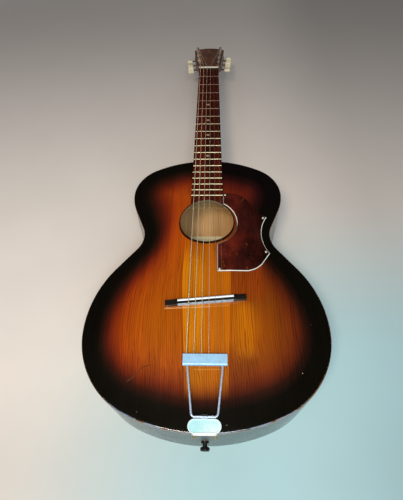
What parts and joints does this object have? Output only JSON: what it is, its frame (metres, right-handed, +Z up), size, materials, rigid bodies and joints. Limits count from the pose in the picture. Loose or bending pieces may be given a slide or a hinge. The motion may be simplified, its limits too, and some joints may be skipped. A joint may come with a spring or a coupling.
{
  "type": "archtop guitar",
  "caption": "Small acoustic archtop guitar with a round soundhole, sunburst arched top, floating bridge, trapeze tailpiece, pickguard and open geared tuners.",
  "frame": {"origin": "on the outer face of the flat back, on the centre line, halfway along the body", "axes": "+Z up out of the top, +Y towards the head, +X towards the treble side"},
  "size_m": [0.3496, 0.9556, 0.1333],
  "materials": {
    "sunburst_spruce": "gloss lacquer",
    "back_wood": "gloss lacquer",
    "side_wood": "gloss lacquer",
    "inner_wood": "bare",
    "neck_wood": "gloss lacquer",
    "board_wood": "oiled",
    "fret_metal": "polished",
    "pale_inlay": "polished",
    "bone": "polished",
    "black_wood": "polished",
    "saddle_white": "polished",
    "tortoise": "polished",
    "plain_steel": "plain",
    "nickel": "polished",
    "brass": "plain",
    "black_gloss": "polished",
    "plain_string": "plain",
    "wound_string": "wound",
    "ivory": "polished"
  },
  "bodies": {
    "guitar": {"top_plate": "sunburst_spruce", "back_plate": "back_wood", "bass_side": "side_wood", "treble_side": "side_wood", "neck_block": "inner_wood", "tail_block": "inner_wood", "top_linings": "inner_wood", "back_linings": "inner_wood", "top_cross_braces": "inner_wood", "tone_bars": "inner_wood", "back_braces": "inner_wood", "neck": "neck_wood", "neck_bar": "plain_steel", "fretboard": "board_wood", "frets": "fret_metal", "position_dots": "pale_inlay", "nut": "bone", "bridge_base": "black_wood", "bridge_saddle": "saddle_white", "pickguard": "tortoise", "pickguard_screws": "plain_steel", "tailpiece_bracket": "nickel", "bracket_screws": "brass", "end_pin": "black_gloss", "tuner_plate_bass": "nickel", "tuner_plate_treble": "nickel", "tuner_plate_screws": "plain_steel", "post_bushings": "nickel", "string_1": "plain_string", "string_2": "plain_string", "string_3": "wound_string", "string_4": "wound_string", "string_5": "wound_string", "string_6": "wound_string"},
    "tailpiece": {"tailpiece_wire": "nickel", "string_bar": "nickel"},
    "button_6": {"tuner_button_6": "ivory", "tuner_worm_6": "plain_steel"},
    "post_6": {"string_post_6": "nickel", "tuner_gear_6": "brass"},
    "button_5": {"tuner_button_5": "ivory", "tuner_worm_5": "plain_steel"},
    "post_5": {"string_post_5": "nickel", "tuner_gear_5": "brass"},
    "button_4": {"tuner_button_4": "ivory", "tuner_worm_4": "plain_steel"},
    "post_4": {"string_post_4": "nickel", "tuner_gear_4": "brass"},
    "button_3": {"tuner_button_3": "ivory", "tuner_worm_3": "plain_steel"},
    "post_3": {"string_post_3": "nickel", "tuner_gear_3": "brass"},
    "button_2": {"tuner_button_2": "ivory", "tuner_worm_2": "plain_steel"},
    "post_2": {"string_post_2": "nickel", "tuner_gear_2": "brass"},
    "button_1": {"tuner_button_1": "ivory", "tuner_worm_1": "plain_steel"},
    "post_1": {"string_post_1": "nickel", "tuner_gear_1": "brass"}
  },
  "joints": [
    {"name": "tailpiece_hinge", "type": "hinge", "parent": "guitar", "child": "tailpiece", "pos_m": [0, -0.2164, 0.11085], "axis": [1, 0, 0], "range_deg": [-0.3, 0.3], "stiffness_Nm_per_rad": 20},
    {"name": "button_turn_6", "type": "hinge", "parent": "guitar", "child": "button_6", "pos_m": [-0.02358, 0.59681, 0.06944], "axis": [-0.9971, -0.074, 0.0184], "continuous": true},
    {"name": "post_turn_6", "type": "hinge", "parent": "guitar", "child": "post_6", "pos_m": [-0.023, 0.59415, 0.0901], "axis": [0, 0.2419, 0.9703], "continuous": true},
    {"name": "button_turn_5", "type": "hinge", "parent": "guitar", "child": "button_5", "pos_m": [-0.02622, 0.63029, 0.06109], "axis": [-0.9971, -0.074, 0.0184], "continuous": true},
    {"name": "post_turn_5", "type": "hinge", "parent": "guitar", "child": "post_5", "pos_m": [-0.02564, 0.62763, 0.08175], "axis": [0, 0.2419, 0.9703], "continuous": true},
    {"name": "button_turn_4", "type": "hinge", "parent": "guitar", "child": "button_4", "pos_m": [-0.02886, 0.66377, 0.05274], "axis": [-0.9971, -0.074, 0.0184], "continuous": true},
    {"name": "post_turn_4", "type": "hinge", "parent": "guitar", "child": "post_4", "pos_m": [-0.02828, 0.66111, 0.0734], "axis": [0, 0.2419, 0.9703], "continuous": true},
    {"name": "button_turn_3", "type": "hinge", "parent": "guitar", "child": "button_3", "pos_m": [0.02886, 0.66377, 0.05274], "axis": [0.9971, -0.074, 0.0184], "continuous": true},
    {"name": "post_turn_3", "type": "hinge", "parent": "guitar", "child": "post_3", "pos_m": [0.02828, 0.66111, 0.0734], "axis": [0, 0.2419, 0.9703], "continuous": true},
    {"name": "button_turn_2", "type": "hinge", "parent": "guitar", "child": "button_2", "pos_m": [0.02622, 0.63029, 0.06109], "axis": [0.9971, -0.074, 0.0184], "continuous": true},
    {"name": "post_turn_2", "type": "hinge", "parent": "guitar", "child": "post_2", "pos_m": [0.02564, 0.62763, 0.08175], "axis": [0, 0.2419, 0.9703], "continuous": true},
    {"name": "button_turn_1", "type": "hinge", "parent": "guitar", "child": "button_1", "pos_m": [0.02358, 0.59681, 0.06944], "axis": [0.9971, -0.074, 0.0184], "continuous": true},
    {"name": "post_turn_1", "type": "hinge", "parent": "guitar", "child": "post_1", "pos_m": [0.023, 0.59415, 0.0901], "axis": [0, 0.2419, 0.9703], "continuous": true}
  ],
  "couplings": [
    {"joint": "post_turn_6", "follows": "button_turn_6", "ratio": 0.071429},
    {"joint": "post_turn_5", "follows": "button_turn_5", "ratio": 0.071429},
    {"joint": "post_turn_4", "follows": "button_turn_4", "ratio": 0.071429},
    {"joint": "post_turn_3", "follows": "button_turn_3", "ratio": 0.071429},
    {"joint": "post_turn_2", "follows": "button_turn_2", "ratio": 0.071429},
    {"joint": "post_turn_1", "follows": "button_turn_1", "ratio": 0.071429}
  ]
}
